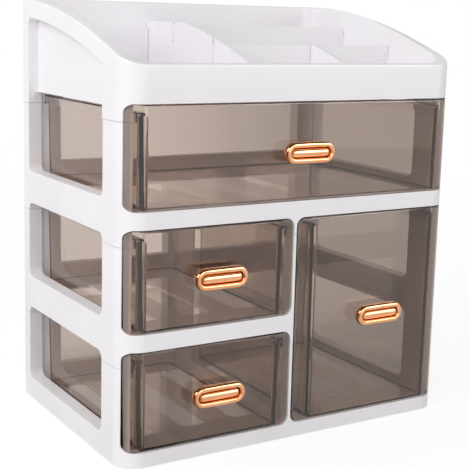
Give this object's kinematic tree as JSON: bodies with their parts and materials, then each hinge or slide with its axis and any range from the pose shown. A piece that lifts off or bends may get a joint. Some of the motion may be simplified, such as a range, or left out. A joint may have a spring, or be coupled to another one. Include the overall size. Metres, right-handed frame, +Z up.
{
  "type": "cosmetics organizer with drawers",
  "caption": "Desktop cosmetics organizer: stacked white tiers with side windows, smoky see-through drawers with pill-shaped pulls, and a divided open tray whose rim sweeps up to the back.",
  "frame": {"origin": "bottom centre of the box that holds the whole part, handles included, on the table", "axes": "+Z up, -Y out of the drawers' fronts, +X to the right as seen from the front"},
  "size_m": [0.29, 0.201, 0.327],
  "materials": {
    "white_plastic": "satin moulded",
    "smoky_plastic": "clear, tinted brown, polished",
    "rose_gold_plating": "polished plating",
    "steel": "zinc plated",
    "rubber": "matt"
  },
  "bodies": {
    "frame": {"base_tier": "white_plastic", "middle_tier": "white_plastic", "upper_tier": "white_plastic", "top_tray": "white_plastic", "tray_divider_long": "white_plastic", "tray_divider_back_row": "white_plastic", "tray_divider_front_row": "white_plastic", "tray_divider_short": "white_plastic", "foot_pad_front_left": "rubber", "foot_pad_front_right": "rubber", "foot_pad_rear_left": "rubber", "foot_pad_rear_right": "rubber"},
    "top_drawer": {"top_drawer_box": "smoky_plastic", "top_drawer_front_plate": "smoky_plastic", "top_drawer_handle": "rose_gold_plating", "top_drawer_screw_left": "steel", "top_drawer_screw_right": "steel"},
    "middle_drawer": {"middle_drawer_box": "smoky_plastic", "middle_drawer_front_plate": "smoky_plastic", "middle_drawer_handle": "rose_gold_plating", "middle_drawer_screw_left": "steel", "middle_drawer_screw_right": "steel"},
    "lower_drawer": {"lower_drawer_box": "smoky_plastic", "lower_drawer_front_plate": "smoky_plastic", "lower_drawer_handle": "rose_gold_plating", "lower_drawer_screw_left": "steel", "lower_drawer_screw_right": "steel"},
    "tall_drawer": {"tall_drawer_box": "smoky_plastic", "tall_drawer_front_plate": "smoky_plastic", "tall_drawer_handle": "rose_gold_plating", "tall_drawer_screw_left": "steel", "tall_drawer_screw_right": "steel"}
  },
  "joints": [
    {"name": "top_drawer_slide", "type": "slide", "parent": "frame", "child": "top_drawer", "axis": [0, -1, 0], "range_m": [0, 0.14]},
    {"name": "middle_drawer_slide", "type": "slide", "parent": "frame", "child": "middle_drawer", "axis": [0, -1, 0], "range_m": [0, 0.14]},
    {"name": "lower_drawer_slide", "type": "slide", "parent": "frame", "child": "lower_drawer", "axis": [0, -1, 0], "range_m": [0, 0.14]},
    {"name": "tall_drawer_slide", "type": "slide", "parent": "frame", "child": "tall_drawer", "axis": [0, -1, 0], "range_m": [0, 0.14]}
  ]
}
